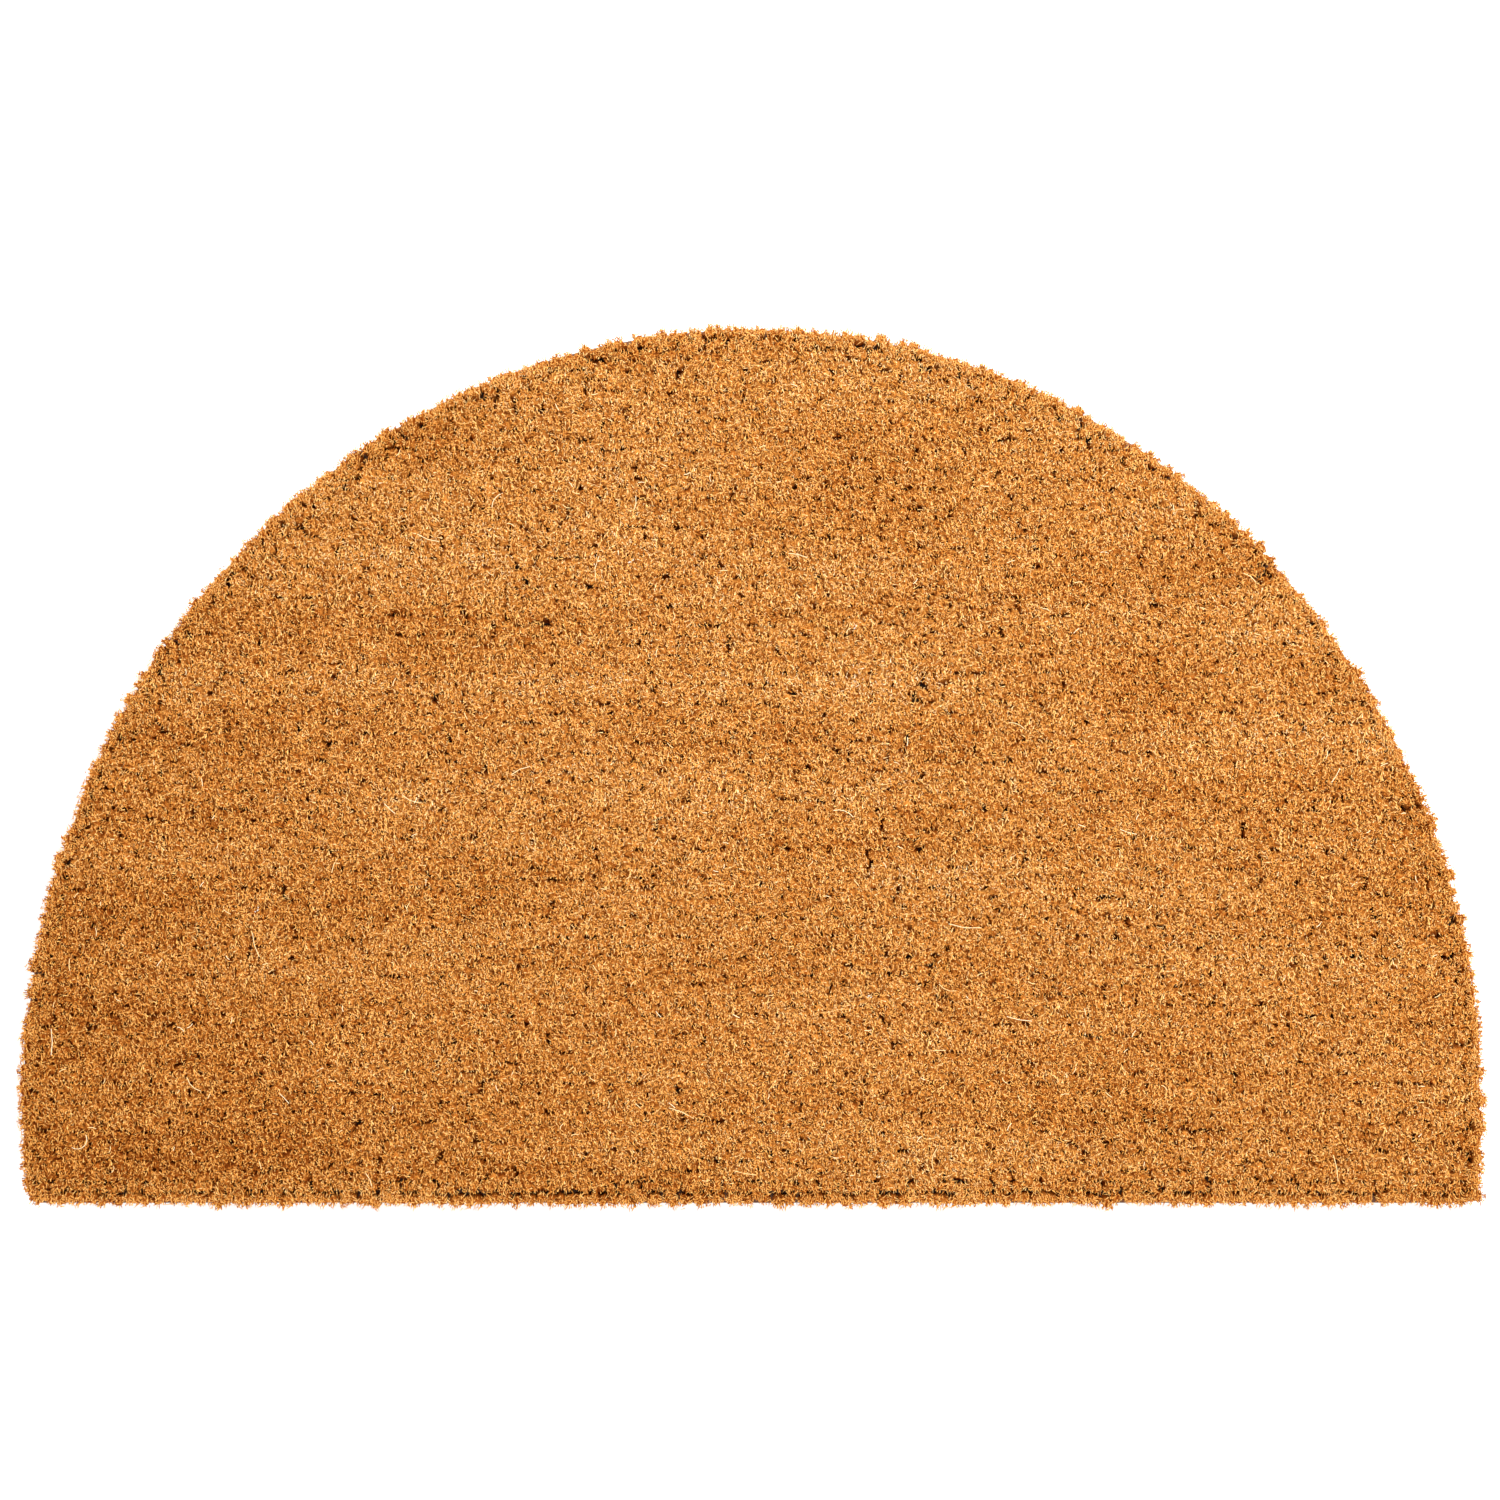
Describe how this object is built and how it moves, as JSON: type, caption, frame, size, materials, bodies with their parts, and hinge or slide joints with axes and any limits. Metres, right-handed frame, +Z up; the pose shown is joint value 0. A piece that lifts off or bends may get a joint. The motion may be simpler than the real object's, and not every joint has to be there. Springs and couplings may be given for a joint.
{
  "type": "door mat",
  "caption": "Half-moon coir door mat: rows of cut tufts standing in a flexible PVC backing, with a straight front edge and an arched back.",
  "frame": {"origin": "middle of the outline box, on the underside of the backing", "axes": "+Z up out of the pile, +X along the straight edge, +Y from the straight edge to the top of the arc"},
  "size_m": [0.75, 0.4499, 0.015],
  "materials": {
    "pvc": "matt flexible PVC, pale warm grey",
    "coir": "cut natural coir pile, golden brown"
  },
  "bodies": {
    "root": {"pvc_backing": "pvc", "tuft_rows_01": "coir", "tuft_rows_02": "coir", "tuft_rows_03": "coir", "tuft_rows_04": "coir", "tuft_rows_05": "coir", "tuft_rows_06": "coir", "tuft_rows_07": "coir", "tuft_rows_08": "coir", "tuft_rows_09": "coir", "tuft_rows_10": "coir", "tuft_rows_11": "coir", "tuft_rows_12": "coir", "tuft_rows_13": "coir", "tuft_rows_14": "coir", "tuft_rows_15": "coir", "tuft_rows_16": "coir", "tuft_rows_17": "coir", "tuft_rows_18": "coir", "tuft_rows_19": "coir", "tuft_rows_20": "coir", "tuft_rows_21": "coir", "tuft_rows_22": "coir", "tuft_rows_23": "coir", "tuft_rows_24": "coir", "tuft_rows_25": "coir", "tuft_rows_26": "coir", "tuft_rows_27": "coir", "tuft_rows_28": "coir", "tuft_rows_29": "coir", "tuft_rows_30": "coir", "tuft_rows_31": "coir", "tuft_rows_32": "coir", "tuft_rows_33": "coir", "tuft_rows_34": "coir", "tuft_rows_35": "coir", "tuft_rows_36": "coir", "tuft_rows_37": "coir", "tuft_rows_38": "coir", "tuft_rows_39": "coir", "tuft_rows_40": "coir", "tuft_rows_41": "coir", "tuft_rows_42": "coir", "tuft_rows_43": "coir", "tuft_rows_44": "coir", "tuft_rows_45": "coir"}
  },
  "joints": []
}
